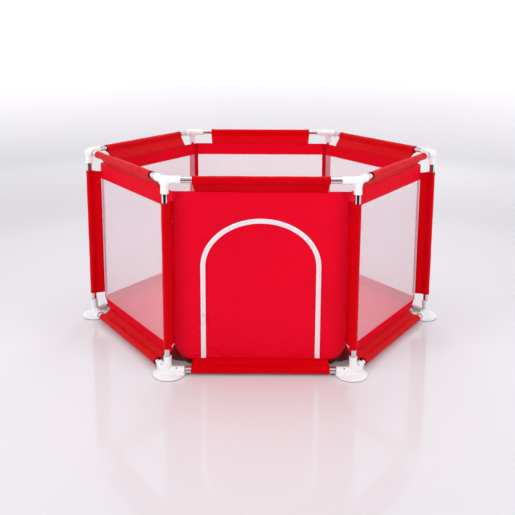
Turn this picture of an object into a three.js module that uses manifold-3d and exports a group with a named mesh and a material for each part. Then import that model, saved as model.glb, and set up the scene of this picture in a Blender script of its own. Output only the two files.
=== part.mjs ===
// Six-sided playpen: a push-fit frame of metal tubes and plastic corner pieces, which holds up a sewn
// cover with five net walls, a cloth front with a zipped doorway, and a cloth floor.
// Millimetres, +Z up, origin on the ground at the middle of the pen. The front faces -Y.

import * as THREE from 'three';
import { mergeVertices } from 'three/addons/utils/BufferGeometryUtils.js';
import Module from 'manifold-3d';

const wasm = await Module();
wasm.setup();

// ---- driving dimensions ----------------------------------------------------------------------

const SIDE = 590; // from post to post, on every side
const SLANT = 55; // degrees between the front side and each slanted side (60 is a regular hexagon)
const TOP_RAIL_Z = 638; // axes of the rails above the ground
const BOTTOM_RAIL_Z = 18;
const GAP = 0.3; // running gap between pieces that touch

const TUBE_RADIUS = 9.5;
const TUBE_WALL = 0.8;
const TUBE_END = 15.5; // from a corner's axis to the end of each tube in its socket

const SOCKET_RADIUS = 12.5;
const TOP_ARM = 49; // length of each socket from the corner's axis
const TOP_LEG = 43;
const FOOT_ARM = 53;
const FOOT_LEG = 48;

const DISC_RADIUS = 53; // the round foot, which sits a little inward of its post
const DISC_INWARD = 7;
const DISC_HEIGHT = 15;

const SLEEVE_RADIUS = 12; // cloth sleeve round a tube
const CLOTH = 1.5;
const WEB = 3; // two layers of cloth between a sleeve and the bag
const TOP_SLEEVE_END = 84; // from a corner's axis to the end of each sleeve
const BOTTOM_SLEEVE_END = 74;
const POST_SLEEVE_TOP_Z = 565;
const POST_SLEEVE_BOTTOM_Z = 91;

const BAG_INSET = 35; // from a side's tubes inward to the bag's wall
const BAG_TOP_Z = 593;
const BAG_BOTTOM_Z = 40;
const BAG_CUT = 56; // each lower corner of a wall is cut off, this far along the bottom
const WALL = 2.4; // thickness of a net wall with its borders
const PANEL = 4; // thickness of the cloth front and its door

const DOOR_HALF_WIDTH = 183; // all measured to the middle of the zip
const DOOR_TOP_Z = 500;
const DOOR_ARCH = 150; // height of the half-ellipse on top of the straight legs
const DOOR_BOTTOM_Z = 44.5;
const DOOR_EDGE = 4; // from the middle of the zip to the cloth's edge, on each side
const ZIP_HALF_BAND = 8.5;
const TAPE = 1.2;
const ZIP_BOTTOM_Z = 50;

const SLIDER_Z = 190; // where the zip's slider stands, on the left leg

const FLOOR = 3; // thickness of the floor cloth
const FLOOR_LOW_Z = 2; // underside of its flat middle
const FLOOR_MIDDLE = 0.82; // size of the flat middle against the rim

const ROUND_SIDES = 16; // sides of every tube and bore
const SOCKET_SIDES = 12;
const DISC_SIDES = 24;

// ---- materials -------------------------------------------------------------------------------

const material = (color, roughness, metalness = 0) =>
  new THREE.MeshStandardMaterial({ color, roughness, metalness });

const whitePlastic = material(0xf4f3f2, 0.35);
const chrome = material(0xcfd0d2, 0.12, 1);
const redCloth = material(0xd8051c, 0.7);
const net = material(0xe6dfe8, 0.9);
net.transparent = true;
net.opacity = 0.45;
const zipTape = material(0xf6eef0, 0.75);
const zipMetal = material(0xe9e9ea, 0.3);

// ---- helpers ---------------------------------------------------------------------------------

const playpen = new THREE.Group();
playpen.name = 'playpen';

// A closed three.js geometry as a manifold solid.
function solid(geometry) {
  const bare = geometry.clone();
  bare.deleteAttribute('normal');
  bare.deleteAttribute('uv');
  const merged = mergeVertices(bare, 1e-3);
  const triangles = [];
  const index = merged.index.array;
  for (let i = 0; i < index.length; i += 3) {
    const [a, b, c] = [index[i], index[i + 1], index[i + 2]];
    if (a !== b && b !== c && c !== a) triangles.push(a, b, c);
  }
  const vertProperties = new Float32Array(merged.attributes.position.array);
  const triVerts = new Uint32Array(triangles);
  return new wasm.Manifold(new wasm.Mesh({ numProp: 3, vertProperties, triVerts }));
}

// A manifold solid as a three.js geometry.
function shell(manifold) {
  const mesh = manifold.getMesh();
  const geometry = new THREE.BufferGeometry();
  geometry.setAttribute('position', new THREE.BufferAttribute(mesh.vertProperties, 3));
  geometry.setIndex(new THREE.BufferAttribute(mesh.triVerts, 1));
  geometry.computeVertexNormals();
  return geometry;
}

function addMesh(parent, name, geometry, surface) {
  const mesh = new THREE.Mesh(geometry, surface);
  mesh.name = name;
  parent.add(mesh);
  return mesh;
}

function circlePath(radius) {
  const path = new THREE.Path();
  path.absarc(0, 0, radius, 0, 2 * Math.PI, true);
  return path;
}

function extrude(shape, depth) {
  const options = { depth, bevelEnabled: false, curveSegments: ROUND_SIDES / 2 };
  return new THREE.ExtrudeGeometry(shape, options);
}

// Turns an extrusion so that it runs along X, with the section's x along Y and its y along Z.
function layAlongX(geometry, start) {
  const turn = new THREE.Matrix4().makeBasis(
    new THREE.Vector3(0, 1, 0),
    new THREE.Vector3(0, 0, 1),
    new THREE.Vector3(1, 0, 0),
  );
  return geometry.applyMatrix4(turn).translate(start, 0, 0);
}

// A flat piece that stands in a side's wall: its outline in X and Z, its outer face at `face`.
function standInWall(shape, thickness, face) {
  return extrude(shape, thickness).rotateX(Math.PI / 2).translate(0, face + thickness, 0);
}

function outline(points) {
  return new THREE.Shape(points.map(([x, y]) => new THREE.Vector2(x, y)));
}

// ---- sections --------------------------------------------------------------------------------

function tubeSection() {
  const shape = new THREE.Shape();
  shape.absarc(0, 0, TUBE_RADIUS, 0, 2 * Math.PI, false);
  shape.holes.push(circlePath(TUBE_RADIUS - TUBE_WALL));
  return shape;
}

// A sleeve round a tube, with its flat web leaving at `angle` and ending `reach` from the axis.
function sleeveSection(angle, reach) {
  const half = Math.asin(WEB / 2 / SLEEVE_RADIUS);
  const along = new THREE.Vector2(Math.cos(angle), Math.sin(angle)).multiplyScalar(reach);
  const across = new THREE.Vector2(-Math.sin(angle), Math.cos(angle)).multiplyScalar(WEB / 2);
  const shape = new THREE.Shape();
  shape.absarc(0, 0, SLEEVE_RADIUS, angle + half, angle - half + 2 * Math.PI, false);
  shape.lineTo(along.x - across.x, along.y - across.y);
  shape.lineTo(along.x + across.x, along.y + across.y);
  shape.holes.push(circlePath(SLEEVE_RADIUS - CLOTH));
  return shape;
}

// A wall of the bag between two corners: `left` and `right` are its ends along X.
function wallPoints(left, right) {
  return [
    [left, BAG_TOP_Z],
    [left, POST_SLEEVE_BOTTOM_Z],
    [left + BAG_CUT, BAG_BOTTOM_Z],
    [right - BAG_CUT, BAG_BOTTOM_Z],
    [right, POST_SLEEVE_BOTTOM_Z],
    [right, BAG_TOP_Z],
  ];
}

// The arch of the doorway, `offset` outside the middle of the zip, from its left foot to its right.
function archPoints(offset, bottom) {
  const halfWidth = DOOR_HALF_WIDTH + offset;
  const springing = DOOR_TOP_Z - DOOR_ARCH;
  const steps = 20;
  const points = [[-halfWidth, bottom]];
  for (let i = 0; i <= steps; i += 1) {
    const angle = Math.PI * (1 - i / steps);
    points.push([
      halfWidth * Math.cos(angle),
      springing + (DOOR_ARCH + offset) * Math.sin(angle),
    ]);
  }
  points.push([halfWidth, bottom]);
  return points;
}

// A band that follows the arch between two offsets.
function archBand(outer, inner, bottom) {
  return outline([...archPoints(outer, bottom), ...archPoints(inner, bottom).reverse()]);
}

// ---- corner pieces ---------------------------------------------------------------------------

const Y_AXIS = new THREE.Vector3(0, 1, 0);

// A cylinder from the origin towards `direction`, between two distances.
function arm(direction, radius, from, to, roundSides) {
  const geometry = new THREE.CylinderGeometry(radius, radius, to - from, roundSides);
  geometry.translate(0, (from + to) / 2, 0);
  geometry.applyQuaternion(new THREE.Quaternion().setFromUnitVectors(Y_AXIS, direction));
  return solid(geometry);
}

// Three sockets that meet in a ball: two level ones, half the corner's angle from +Y, and one upright.
function threeWaySocket(halfAngle, level, upright, up, base) {
  const sockets = [
    { direction: new THREE.Vector3(Math.sin(halfAngle), Math.cos(halfAngle), 0), length: level },
    { direction: new THREE.Vector3(-Math.sin(halfAngle), Math.cos(halfAngle), 0), length: level },
    { direction: new THREE.Vector3(0, 0, up), length: upright },
  ];
  let body = solid(new THREE.SphereGeometry(SOCKET_RADIUS, SOCKET_SIDES, SOCKET_SIDES / 2));
  if (base) body = body.add(base);
  for (const { direction, length } of sockets) {
    body = body.add(arm(direction, SOCKET_RADIUS, 0, length, SOCKET_SIDES));
  }
  for (const { direction, length } of sockets) {
    const bore = arm(direction, TUBE_RADIUS + GAP, TUBE_END - GAP, length + 1, ROUND_SIDES);
    body = body.subtract(bore);
  }
  return shell(body);
}

// The round foot: a low dome with a thin rim, as seen from the rails' axis.
function footDisc() {
  const profile = [
    [0, 0],
    [DISC_RADIUS - 2, 0],
    [DISC_RADIUS, 3],
    [DISC_RADIUS - 1, 6],
    [0.8 * DISC_RADIUS, 0.75 * DISC_HEIGHT],
    [0.45 * DISC_RADIUS, DISC_HEIGHT],
    [0, DISC_HEIGHT],
  ].map(([radius, z]) => new THREE.Vector2(radius, z));
  const disc = new THREE.LatheGeometry(profile, DISC_SIDES).rotateX(Math.PI / 2);
  return solid(disc.translate(0, DISC_INWARD, -BOTTOM_RAIL_Z));
}

// ---- the frame -------------------------------------------------------------------------------

const slant = THREE.MathUtils.degToRad(SLANT);
const halfWidth = SIDE / 2 + SIDE * Math.cos(slant);
const halfDepth = SIDE * Math.sin(slant);

const corners = [
  { name: 'front_left', x: -SIDE / 2, y: -halfDepth },
  { name: 'front_right', x: SIDE / 2, y: -halfDepth },
  { name: 'right', x: halfWidth, y: 0 },
  { name: 'back_right', x: SIDE / 2, y: halfDepth },
  { name: 'back_left', x: -SIDE / 2, y: halfDepth },
  { name: 'left', x: -halfWidth, y: 0 },
];
const sideNames = ['front', 'front_right', 'back_right', 'back', 'back_left', 'front_left'];

// Side i runs from corner i to the next one, anticlockwise from above, so that its +Y points inward.
const sides = sideNames.map((name, i) => {
  const start = corners[i];
  const end = corners[(i + 1) % corners.length];
  const heading = Math.atan2(end.y - start.y, end.x - start.x);
  return { name, start, end, heading };
});
corners.forEach((corner, i) => {
  const before = sides[(i + sides.length - 1) % sides.length].heading;
  const turn = (sides[i].heading - before + 2 * Math.PI) % (2 * Math.PI);
  corner.halfAngle = (Math.PI - turn) / 2;
  corner.inward = sides[i].heading + corner.halfAngle;
});

for (const corner of corners) {
  const group = new THREE.Group();
  group.position.set(corner.x, corner.y, 0);
  group.rotation.z = corner.inward - Math.PI / 2;
  playpen.add(group);

  const top = threeWaySocket(corner.halfAngle, TOP_ARM, TOP_LEG, -1);
  addMesh(group, `top_connector_${corner.name}`, top, whitePlastic).position.z = TOP_RAIL_Z;
  const foot = threeWaySocket(corner.halfAngle, FOOT_ARM, FOOT_LEG, 1, footDisc());
  addMesh(group, `foot_${corner.name}`, foot, whitePlastic).position.z = BOTTOM_RAIL_Z;

  const postLength = TOP_RAIL_Z - BOTTOM_RAIL_Z - 2 * TUBE_END;
  const post = addMesh(group, `post_${corner.name}`, extrude(tubeSection(), postLength), chrome);
  post.position.z = BOTTOM_RAIL_Z + TUBE_END;

  // The web of the sleeve stops just short of the corner where the bag's two walls meet.
  const face = BAG_INSET - Math.max(WALL, PANEL) / 2;
  const reach = face / Math.sin(corner.halfAngle) - 1;
  const sleeveLength = POST_SLEEVE_TOP_Z - POST_SLEEVE_BOTTOM_Z;
  const sleeve = extrude(sleeveSection(Math.PI / 2, reach), sleeveLength);
  addMesh(group, `post_sleeve_${corner.name}`, sleeve, redCloth).position.z = POST_SLEEVE_BOTTOM_Z;
}

// ---- the sides -------------------------------------------------------------------------------

const sideGroups = {};

// A sleeve along a side, whose web runs from the rail to the bag's edge and stops short of it.
function sideSleeve(railZ, edgeZ, end, face) {
  const angle = Math.atan2(edgeZ - railZ, BAG_INSET);
  const reach = (face - 1) / Math.cos(angle) - (WEB / 2) * Math.abs(Math.tan(angle));
  const section = sleeveSection(angle, reach);
  return layAlongX(extrude(section, SIDE - 2 * end), -SIDE / 2 + end);
}

for (const side of sides) {
  const group = new THREE.Group();
  group.position.set((side.start.x + side.end.x) / 2, (side.start.y + side.end.y) / 2, 0);
  group.rotation.z = side.heading;
  playpen.add(group);
  sideGroups[side.name] = group;

  const railLength = SIDE - 2 * TUBE_END;
  const rails = { top: TOP_RAIL_Z, bottom: BOTTOM_RAIL_Z };
  for (const [level, z] of Object.entries(rails)) {
    const rail = layAlongX(extrude(tubeSection(), railLength), -railLength / 2);
    addMesh(group, `${level}_rail_${side.name}`, rail, chrome).position.z = z;
  }

  const isFront = side.name === 'front';
  const thickness = isFront ? PANEL : WALL;
  const face = BAG_INSET - thickness / 2;
  const top = sideSleeve(TOP_RAIL_Z, BAG_TOP_Z, TOP_SLEEVE_END, face);
  addMesh(group, `top_sleeve_${side.name}`, top, redCloth).position.z = TOP_RAIL_Z;
  const bottom = sideSleeve(BOTTOM_RAIL_Z, BAG_BOTTOM_Z, BOTTOM_SLEEVE_END, face);
  addMesh(group, `bottom_sleeve_${side.name}`, bottom, redCloth).position.z = BOTTOM_RAIL_Z;

  // Each wall ends where its inner face would meet the inner face of the next one.
  const inner = BAG_INSET + PANEL / 2;
  const left = -SIDE / 2 + inner / Math.tan(side.start.halfAngle) + GAP;
  const right = SIDE / 2 - inner / Math.tan(side.end.halfAngle) - GAP;
  const edge = wallPoints(left, right);
  if (isFront) {
    const doorway = archPoints(DOOR_EDGE, BAG_BOTTOM_Z);
    const legs = outline([...edge.slice(0, 3), ...doorway, ...edge.slice(3)]);
    addMesh(group, 'front_panel', standInWall(legs, PANEL, face), redCloth);
  } else {
    const wall = standInWall(outline(edge), WALL, face);
    addMesh(group, `net_wall_${side.name}`, wall, net);
  }
}

// ---- the door and its zip --------------------------------------------------------------------

const front = sideGroups.front;
const panelFace = BAG_INSET - PANEL / 2;
const tapeFace = panelFace - GAP - TAPE;

const door = standInWall(outline(archPoints(-DOOR_EDGE, DOOR_BOTTOM_Z)), PANEL, panelFace);
addMesh(front, 'door_flap', door, redCloth);

const panelTape = standInWall(archBand(ZIP_HALF_BAND, GAP / 2, ZIP_BOTTOM_Z), TAPE, tapeFace);
addMesh(front, 'zip_tape_panel', panelTape, zipTape);
const doorTape = standInWall(archBand(-GAP / 2, -ZIP_HALF_BAND, ZIP_BOTTOM_Z), TAPE, tapeFace);
addMesh(front, 'zip_tape_door', doorTape, zipTape);

function box(width, depth, height, x, y, z) {
  return solid(new THREE.BoxGeometry(width, depth, height).translate(x, y, z));
}

// The slider: a wedge that is wider at its top, with a bridge for the pull in front.
const SLIDER_DEPTH = 4;
const BRIDGE_DEPTH = 5.5;
const PULL_AXIS = 2.6; // from the slider's front face out to the pull's pin
const PULL_LENGTH = 32;
const PULL = 1.6;

function zipSlider() {
  const wedge = outline([
    [-5.5, 8],
    [-4, -8],
    [4, -8],
    [5.5, 8],
  ]);
  const body = solid(standInWall(wedge, SLIDER_DEPTH, -SLIDER_DEPTH));
  const bridge = box(3, BRIDGE_DEPTH, 8, 0, -SLIDER_DEPTH - BRIDGE_DEPTH / 2 + 0.5, 0);
  const slot = box(5, 3.6, 5, 0, -SLIDER_DEPTH - PULL_AXIS, 0);
  return shell(body.add(bridge).subtract(slot));
}

// The pull: a pin through the bridge, two cheeks beside it, and a flat tab that hangs below.
function zipPull() {
  const pin = new THREE.CylinderGeometry(PULL / 2, PULL / 2, 8, 12).rotateZ(Math.PI / 2);
  const tabTop = -6;
  const tabHeight = PULL_LENGTH + tabTop;
  let body = solid(pin);
  for (const x of [-3, 3]) {
    body = body.add(box(2, PULL, 8, x, 0, -3.4));
  }
  body = body.add(box(8, PULL, tabHeight, 0, 0, tabTop - tabHeight / 2));
  return shell(body);
}

const leftLeg = -DOOR_HALF_WIDTH;
const slider = addMesh(front, 'zip_slider', zipSlider(), zipMetal);
slider.position.set(leftLeg, tapeFace - GAP, SLIDER_Z);
const pull = addMesh(front, 'zip_pull', zipPull(), zipMetal);
pull.position.set(leftLeg, tapeFace - GAP - SLIDER_DEPTH - PULL_AXIS, SLIDER_Z);

// ---- the floor -------------------------------------------------------------------------------

// The floor's rim follows the bottoms of the walls, with the corners cut off.
function floorRim() {
  const rim = [];
  for (const side of sides) {
    const group = sideGroups[side.name];
    group.updateMatrix();
    for (const end of [side.start, side.end]) {
      const sign = end === side.start ? -1 : 1;
      const inner = BAG_INSET + PANEL / 2;
      const x = sign * (SIDE / 2 - inner / Math.tan(end.halfAngle) - BAG_CUT);
      rim.push(new THREE.Vector3(x, inner, 0).applyMatrix4(group.matrix));
    }
  }
  return rim;
}

// A shallow tray of cloth: its rim hangs from the walls, and its flat middle lies near the ground.
function floorTray() {
  const rim = floorRim();
  const count = rim.length;
  const rimZ = BAG_BOTTOM_Z - FLOOR - GAP - 0.3;
  const positions = [];
  for (const lift of [FLOOR, 0]) {
    for (const { x, y } of rim) positions.push(x, y, rimZ + lift);
    for (const { x, y } of rim) {
      positions.push(x * FLOOR_MIDDLE, y * FLOOR_MIDDLE, FLOOR_LOW_Z + lift);
    }
    positions.push(0, 0, FLOOR_LOW_Z + lift);
  }
  const layer = 2 * count + 1;
  const triangles = [];
  for (let i = 0; i < count; i += 1) {
    const next = (i + 1) % count;
    const middle = count + i;
    const nextMiddle = count + next;
    const hub = 2 * count;
    const upper = [i, next, nextMiddle, i, nextMiddle, middle, middle, nextMiddle, hub];
    triangles.push(...upper);
    triangles.push(...upper.map((vertex) => vertex + layer).reverse());
    triangles.push(i, i + layer, next + layer, i, next + layer, next);
  }
  const geometry = new THREE.BufferGeometry();
  geometry.setAttribute('position', new THREE.Float32BufferAttribute(positions, 3));
  geometry.setIndex(triangles);
  geometry.computeVertexNormals();
  return geometry;
}

addMesh(playpen, 'floor_mat', floorTray(), redCloth);

export default playpen;
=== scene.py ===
"""The looks of the playpen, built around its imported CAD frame. Metres, +Z up, the front faces -Y."""

import math

import bpy
import numpy as np
from mathutils import Matrix, Vector


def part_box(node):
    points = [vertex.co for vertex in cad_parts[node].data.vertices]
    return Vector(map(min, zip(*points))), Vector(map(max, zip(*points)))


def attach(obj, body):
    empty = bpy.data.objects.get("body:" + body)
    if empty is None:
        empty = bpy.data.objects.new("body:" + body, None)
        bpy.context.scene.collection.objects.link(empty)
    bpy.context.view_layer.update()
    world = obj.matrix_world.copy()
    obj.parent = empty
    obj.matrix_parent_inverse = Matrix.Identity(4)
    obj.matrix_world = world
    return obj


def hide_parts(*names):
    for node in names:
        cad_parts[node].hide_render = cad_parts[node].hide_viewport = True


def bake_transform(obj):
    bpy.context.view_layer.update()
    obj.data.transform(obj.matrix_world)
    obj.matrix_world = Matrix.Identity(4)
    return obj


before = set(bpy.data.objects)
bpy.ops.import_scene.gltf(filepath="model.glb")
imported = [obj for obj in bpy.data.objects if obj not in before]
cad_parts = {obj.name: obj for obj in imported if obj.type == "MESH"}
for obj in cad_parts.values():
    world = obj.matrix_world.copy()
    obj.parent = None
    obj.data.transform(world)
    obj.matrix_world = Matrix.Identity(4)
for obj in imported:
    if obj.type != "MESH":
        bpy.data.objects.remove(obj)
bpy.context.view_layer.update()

MM = 0.001
CORNERS = ["front_left", "front_right", "right", "back_right", "back_left", "left"]
SIDES = ["front", "front_right", "back_right", "back", "back_left", "front_left"]

scene = bpy.context.scene


# ---- camera ----


def add_camera():
    """A camera a little above the pen, shifted so that the posts stay nearly parallel."""
    data = bpy.data.cameras.new("camera")
    data.lens, data.sensor_width = 51.47, 36.0
    data.shift_y = -0.2
    camera = bpy.data.objects.new("camera", data)
    scene.collection.objects.link(camera)
    yaw, pitch, roll = -0.0005, math.pi / 2 - 0.1816, 0.0045
    turn = Matrix.Rotation(yaw, 4, "Z") @ Matrix.Rotation(pitch, 4, "X") @ Matrix.Rotation(roll, 4, "Z")
    camera.matrix_world = Matrix.Translation((-0.0132, -2.6694, 1.1185)) @ turn
    scene.camera = camera


add_camera()


# ---- sizes, from the frame ----


def middle(node):
    """The middle of a node's box."""
    low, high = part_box(node)
    return (low + high) / 2


POSTS = {corner: middle(f"post_{corner}") for corner in CORNERS}
TOP_Z = middle("top_rail_front").z
BOTTOM_Z = middle("bottom_rail_front").z
TUBE_RADIUS = (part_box("top_rail_front")[1].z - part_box("top_rail_front")[0].z) / 2
SOCKET_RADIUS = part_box("top_connector_left")[1].z - TOP_Z
BAG_INSET = middle("front_panel").y - POSTS["front_left"].y
BAG_BOTTOM, BAG_TOP = (corner.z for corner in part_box("net_wall_back"))

BORDER_TOP = 46 * MM  # height of the red cloth above the net, and below it
BORDER_BOTTOM = 38 * MM
BORDER_BESIDE_DOOR = (56 * MM, 32 * MM)  # the same on the two walls beside the front
CORNER_CUT = 56 * MM  # each lower corner of the bag is cut off along the bottom
CORNER_CUT_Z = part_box("post_sleeve_left")[0].z
CLOTH = 1.0 * MM
TOP_ARM = 49 * MM  # from a post's axis to the mouths of its level sockets, above and below
FOOT_ARM = 53 * MM
FOOT_INWARD = 7 * MM  # how far the middle of a foot's disc stands inside its post
FOOT_SOLE = 1.6 * MM  # thickness of the rubber pad under the disc
TURNED_EDGE = 10 * MM  # width of the net that is turned in beside each upright seam
DOOR_ARCH = 150 * MM
ZIP_HALF_BAND = 8.5 * MM
ZIP_HALF_WIDTH = (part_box("zip_tape_panel")[1].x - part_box("zip_tape_panel")[0].x) / 2 - ZIP_HALF_BAND
ZIP_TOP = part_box("zip_tape_panel")[1].z - ZIP_HALF_BAND
ZIP_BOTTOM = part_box("zip_tape_panel")[0].z
ZIP_END = ZIP_BOTTOM - 6 * MM  # the tape itself runs on into the bottom seam
ZIP_CLEAR = 4 * MM  # from the zip's middle line to the edge of the cloth on each side
ZIP_SEAM = 3.5 * MM  # how far the tape covers that cloth


class Spot:
    """A place on the ground with axes of its own, seen from outside: x runs to the right along
    the pen, y inward and z up."""

    def place(self, x, y, z):
        x, y, z = np.broadcast_arrays(x, y, z)
        spot = self.origin + x[..., None] * self.along + y[..., None] * self.inward
        spot[..., 2] += z
        return spot


class Side(Spot):
    """One side of the pen, from its middle."""

    def __init__(self, name, start, end):
        self.name = name
        first, last = POSTS[start], POSTS[end]
        self.length = (last - first).xy.length
        self.along = np.array([*((last - first).xy / self.length), 0.0])
        self.inward = np.array([-self.along[1], self.along[0], 0.0])
        self.origin = np.array([*((first + last).xy / 2), 0.0])


class Corner(Spot):
    """One corner of the pen, from its post."""

    def __init__(self, name, before, after):
        self.name = name
        self.origin = np.array([*POSTS[name].xy, 0.0])
        inward = after.along - before.along
        self.inward = inward / np.linalg.norm(inward)
        self.along = np.array([self.inward[1], -self.inward[0], 0.0])
        self.half_angle = math.acos(float(after.along @ self.inward))
        self.bag = BAG_INSET / math.sin(self.half_angle)  # from the post to the bag's corner

    def matrix(self, z):
        columns = [*self.along, 0], [*self.inward, 0], [0, 0, 1, 0], [*self.origin[:2], z, 1]
        return Matrix(columns).transposed()


side_list = [Side(name, CORNERS[i], CORNERS[(i + 1) % 6]) for i, name in enumerate(SIDES)]
corner_list = [Corner(name, side_list[i - 1], side_list[i]) for i, name in enumerate(CORNERS)]
for number, side in enumerate(side_list):
    ends = corner_list[number], corner_list[(number + 1) % 6]
    reach = [BAG_INSET / math.tan(corner.half_angle) for corner in ends]
    side.left, side.right = -side.length / 2 + reach[0], side.length / 2 - reach[1]  # of its wall
front = side_list[0]


# ---- mesh helpers ----


def lattice_noise(x, y, seed):
    """Smooth noise from -1 to 1, on a lattice of unit squares."""
    table = np.random.default_rng(seed).uniform(-1, 1, (64, 64))
    x, y = np.broadcast_arrays(x, y)
    column, row = np.floor(x).astype(int), np.floor(y).astype(int)
    u, v = x - column, y - row
    u, v = u * u * (3 - 2 * u), v * v * (3 - 2 * v)
    low = table[column % 64, row % 64] * (1 - u) + table[(column + 1) % 64, row % 64] * u
    high = table[column % 64, (row + 1) % 64] * (1 - u) + table[(column + 1) % 64, (row + 1) % 64] * u
    return low * (1 - v) + high * v


def piece(name, mesh, material, body="root", nodes=(), sharp=50):
    """A finished mesh as a piece of the object, riding on its body."""
    mesh.name = name
    mesh.materials.clear()
    mesh.materials.append(material)
    mesh.polygons.foreach_set("use_smooth", [True] * len(mesh.polygons))
    mesh.set_sharp_from_angle(angle=math.radians(sharp))
    obj = bpy.data.objects.new(name, mesh)
    scene.collection.objects.link(obj)
    if nodes:
        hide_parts(*nodes)
    if body:
        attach(obj, body)
    return obj


def mesh_of(points, faces, uv=None):
    """A mesh; uv gives each point's place on the flat cloth, in metres."""
    mesh = bpy.data.meshes.new("mesh")
    mesh.from_pydata(np.asarray(points).reshape(-1, 3).tolist(), [], faces)
    if uv is not None:
        flat = np.asarray(uv).reshape(-1, 2)
        layer = mesh.uv_layers.new(name="cloth")
        loops = np.zeros(len(mesh.loops), int)
        mesh.loops.foreach_get("vertex_index", loops)
        layer.data.foreach_set("uv", flat[loops].ravel())
    return mesh


def together(*parts):
    """Arrays of coordinates as one array of points."""
    return np.stack(np.broadcast_arrays(*parts), -1)


def grid_faces(rows, columns, wrap=False):
    """Quads over a grid of points; with wrap, the last column joins the first."""
    faces = []
    for i in range(rows - 1):
        for j in range(columns if wrap else columns - 1):
            k = (j + 1) % columns
            faces.append((i * columns + j, i * columns + k, (i + 1) * columns + k, (i + 1) * columns + j))
    return faces


def grid_mesh(points, uv=None, wrap=False, caps=False):
    rows, columns = points.shape[:2]
    faces = grid_faces(rows, columns, wrap)
    if caps:
        faces.append(tuple(reversed(range(columns))))
        faces.append(tuple((rows - 1) * columns + j for j in range(columns)))
    return mesh_of(points, faces, uv)


def thicken(obj, thickness):
    """Gives a cloth its thickness, half of it to each side."""
    solidify = obj.modifiers.new("thickness", "SOLIDIFY")
    solidify.thickness, solidify.offset = thickness, 0.0


def unit(vectors):
    """Rows of vectors at length one."""
    return vectors / np.linalg.norm(vectors, axis=1)[:, None]


def run_along(path):
    """How far each point of a path lies along it."""
    return np.concatenate([[0], np.cumsum(np.linalg.norm(np.diff(path, axis=0), axis=1))])


def stitches(name, paths, material, body="root"):
    """Rows of stitches along paths of points: each stitch is a short tapered length of thread."""
    pitch, thick = 3.3 * MM, 0.28 * MM
    shape = np.array([[-1, 0, 0], [-0.6, 1, 0], [-0.6, -0.5, 0.87], [-0.6, -0.5, -0.87],
                      [0.6, 1, 0], [0.6, -0.5, 0.87], [0.6, -0.5, -0.87], [1, 0, 0]])
    faces = np.array([[0, 2, 1, 1], [0, 3, 2, 2], [0, 1, 3, 3], [1, 2, 5, 4], [2, 3, 6, 5],
                      [3, 1, 4, 6], [4, 5, 7, 7], [5, 6, 7, 7], [6, 4, 7, 7]])
    points, polygons = [], []
    for path in paths:
        run = run_along(path)
        spots = np.arange(pitch, run[-1] - pitch / 2, pitch)
        centre = np.stack([np.interp(spots, run, path[:, k]) for k in range(3)], 1)
        ahead = np.stack([np.interp(spots + 1 * MM, run, path[:, k]) for k in range(3)], 1)
        forward = unit(ahead - centre)
        helper = np.array([0.3, 0.2, 0.93]) if abs(forward[:, 2]).mean() < 0.8 else np.array([0.8, 0.6, 0])
        side = unit(np.cross(forward, helper))
        over = np.cross(side, forward)
        axes = np.stack([forward * 0.36 * pitch, side * thick, over * thick], 1)
        start = sum(len(block) for block in points)
        made = centre[:, None] + np.einsum("vk,skx->svx", shape, axes)
        points.append(made.reshape(-1, 3))
        shift = start + 8 * np.arange(len(spots))
        for face in (shift[:, None, None] + faces).reshape(-1, 4).tolist():
            polygons.append(face[:3] if face[2] == face[3] else face)
    piece(name, mesh_of(np.concatenate(points), polygons), material, body=body)


def ring(count):
    """The cosines and sines of `count` even steps round a circle."""
    angle = np.linspace(0, 2 * np.pi, count, endpoint=False)
    return np.cos(angle), np.sin(angle)


def swept_tube(path, radius, count=8):
    """A round bar along a path of points, with closed ends."""
    path = np.asarray(path, float)
    forward = unit(np.gradient(path, axis=0))
    up = np.array([0.0, 0.0, 1.0]) if abs(forward[:, 2]).max() < 0.9 else np.array([0.31, 0.95, 0.1])
    side = unit(np.cross(forward, up))
    over = np.cross(side, forward)
    c, s = ring(count)
    radius = np.broadcast_to(radius, len(path))[:, None, None]
    points = path[:, None] + radius * (c[:, None] * side[:, None] + s[:, None] * over[:, None])
    uv = together(run_along(path)[:, None], np.arange(count) * MM)
    return grid_mesh(points, uv, wrap=True, caps=True)


def surface_of(distance, low, high, step):
    """The surface where `distance` is nought, as quads, by surface nets on a grid."""
    axes = [np.arange(a - 5 * step, b + 6 * step, step) for a, b in zip(low, high)]
    value = distance(np.stack(np.meshgrid(*axes, indexing="ij"), -1))
    size = np.array(value.shape) - 1

    def corner(offset):
        return value[tuple(slice(o, o + n) for o, n in zip(offset, size))]

    total, count = np.zeros((*size, 3)), np.zeros(size)
    for axis in range(3):
        for a in (0, 1):
            for b in (0, 1):
                start = np.roll([0, a, b], axis)
                end = start + np.roll([1, 0, 0], axis)
                near, far = corner(start), corner(end)
                crosses = (near < 0) != (far < 0)
                share = np.where(crosses, near / np.where(crosses, near - far, 1), 0)
                total += crosses[..., None] * (start + share[..., None] * (end - start))
                count += crosses
    cells = np.argwhere(count > 0)
    index = np.full(size, -1)
    index[tuple(cells.T)] = np.arange(len(cells))
    base = np.array([axis[0] for axis in axes])
    points = base + (cells + total[tuple(cells.T)] / count[tuple(cells.T)][:, None]) * step
    faces = []
    for axis in range(3):
        forward = np.roll([1, 0, 0], axis)
        right, up = np.roll(forward, 1), np.roll(forward, 2)
        near = value[tuple(slice(1, n) for n in size)]
        far = value[tuple(slice(1 + f, n + f) for f, n in zip(forward, size))]
        for inside, order in (((near < 0) & (far >= 0), 1), ((near >= 0) & (far < 0), -1)):
            spots = np.argwhere(inside) + 1
            around = [spots - right - up, spots - up, spots, spots - right]
            quads = np.stack([index[tuple(cell.T)] for cell in around], 1)[:, ::order]
            faces.extend(quads.tolist())
    return mesh_of(points, faces)


# ---- distances, for the moulded pieces ----


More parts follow.
